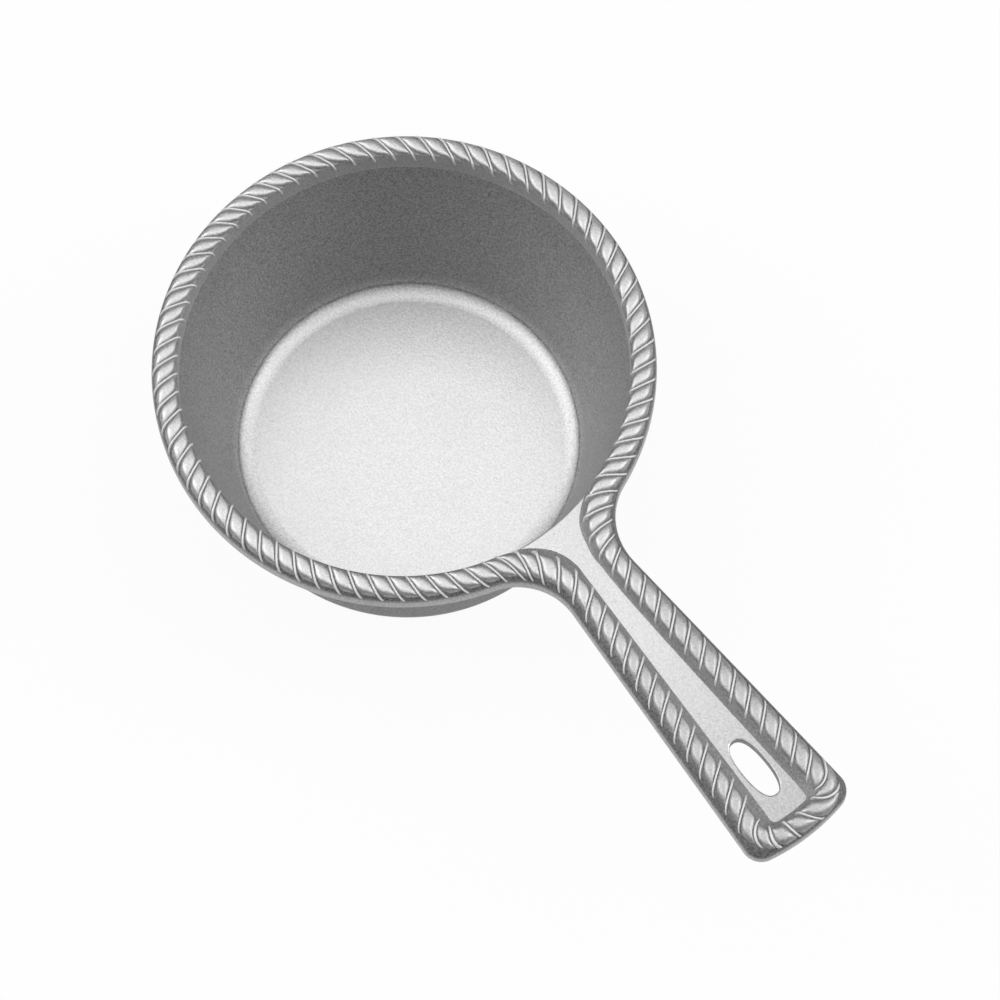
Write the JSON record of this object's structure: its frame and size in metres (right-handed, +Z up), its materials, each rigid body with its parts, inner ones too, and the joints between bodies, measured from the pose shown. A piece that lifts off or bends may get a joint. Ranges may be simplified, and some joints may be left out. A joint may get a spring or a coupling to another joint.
{
  "type": "saucepan",
  "caption": "Small cast-metal saucepan: tapered round bowl, flat handle with a sunken web and a hanging slot, and a twisted-rope border round rim and handle.",
  "frame": {"origin": "centre of the bowl's flat base, on the surface that the pan stands on", "axes": "+Z up out of the bowl's mouth, +X from the bowl along the handle, +Y to the left of the handle seen from the bowl"},
  "size_m": [0.1732, 0.1, 0.0477],
  "materials": {
    "cast_aluminium": "as cast in sand: satin grey with a fine grain, unpainted",
    "rubbed_rope": "as cast, tumbled bright on the crowns of the rope's strands",
    "raised_rib": "as cast, bright on its thin top edge"
  },
  "bodies": {
    "root": {"pan_floor": "cast_aluminium", "pan_wall": "cast_aluminium", "rim_band": "cast_aluminium", "neck_fillet": "cast_aluminium", "handle_web": "cast_aluminium", "left_rail": "cast_aluminium", "right_rail": "cast_aluminium", "end_rail": "cast_aluminium", "rim_rope": "rubbed_rope", "left_rope": "rubbed_rope", "right_rope": "rubbed_rope", "end_rope": "rubbed_rope", "rim_ribs": "raised_rib", "left_ribs": "raised_rib", "right_ribs": "raised_rib", "end_ribs": "raised_rib"}
  },
  "joints": []
}
